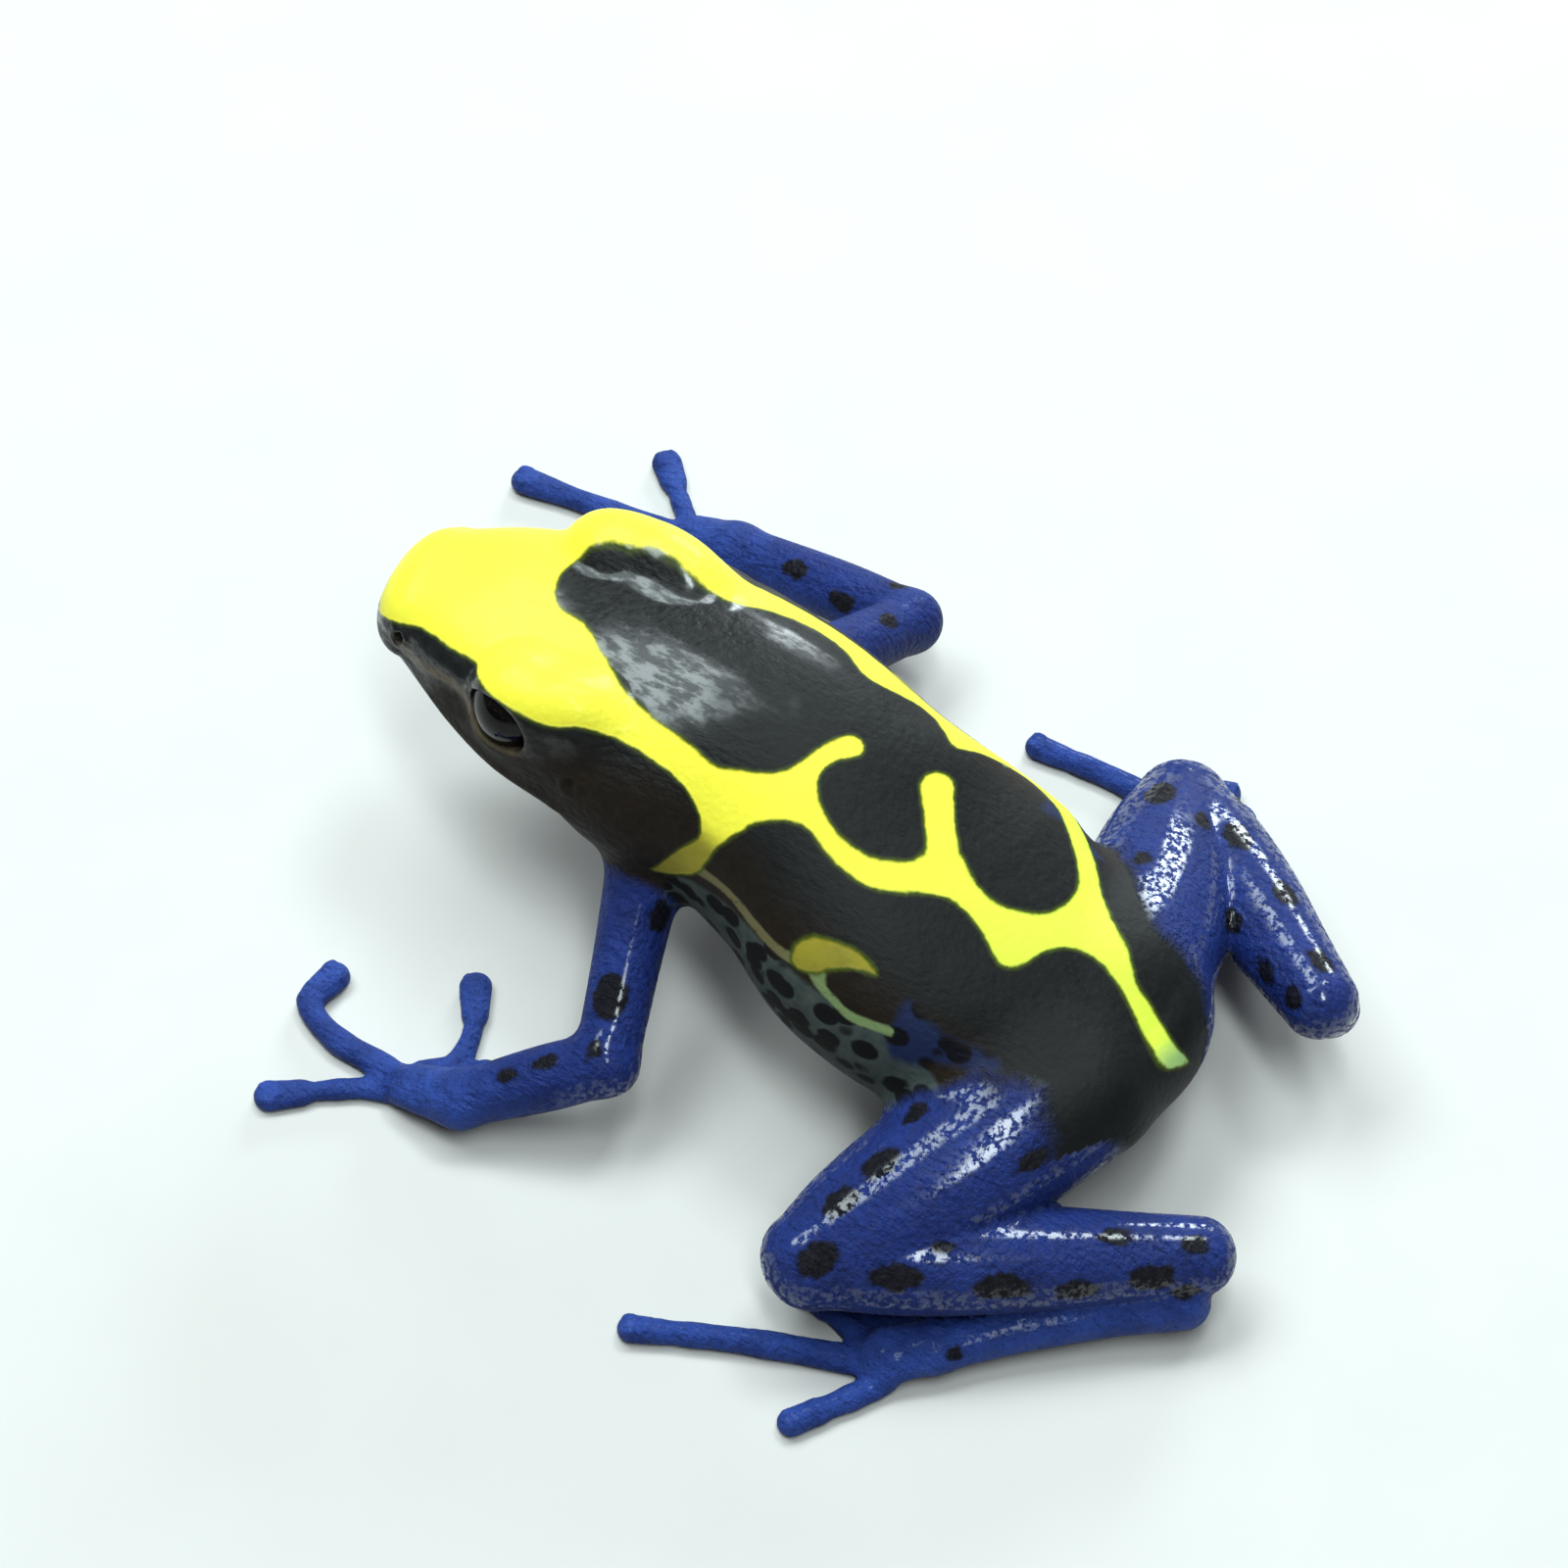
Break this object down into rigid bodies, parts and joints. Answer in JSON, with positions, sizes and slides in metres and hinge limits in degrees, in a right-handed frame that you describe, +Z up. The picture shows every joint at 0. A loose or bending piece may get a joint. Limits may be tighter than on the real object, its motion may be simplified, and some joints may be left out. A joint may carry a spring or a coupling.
{
  "type": "dyeing poison dart frog model",
  "caption": "Life-size still model of a dyeing poison dart frog sitting on its hands and feet, yellow network over a black back, blue legs.",
  "frame": {"origin": "on the floor, at the middle of the bounding box seen from above", "axes": "+Z up from the floor, the frog faces -Y, its left side is +X"},
  "size_m": [0.0424, 0.0516, 0.0159],
  "materials": {
    "yellow_skin": "moist smooth skin, bright yellow",
    "black_skin": "moist finely grained skin, brown-black to black",
    "blue_skin": "moist grained skin, deep blue with black spots",
    "eye": "wet and dark"
  },
  "bodies": {
    "root": {"head": "yellow_skin", "jaw": "black_skin", "torso": "black_skin", "eye_left": "eye", "eye_right": "eye", "thigh_left": "blue_skin", "shank_left": "blue_skin", "tarsus_left": "blue_skin", "foot_left": "blue_skin", "upper_arm_left": "blue_skin", "forearm_left": "blue_skin", "hand_left": "blue_skin", "thigh_right": "blue_skin", "shank_right": "blue_skin", "tarsus_right": "blue_skin", "foot_right": "blue_skin", "upper_arm_right": "blue_skin", "forearm_right": "blue_skin", "hand_right": "blue_skin"}
  },
  "joints": []
}
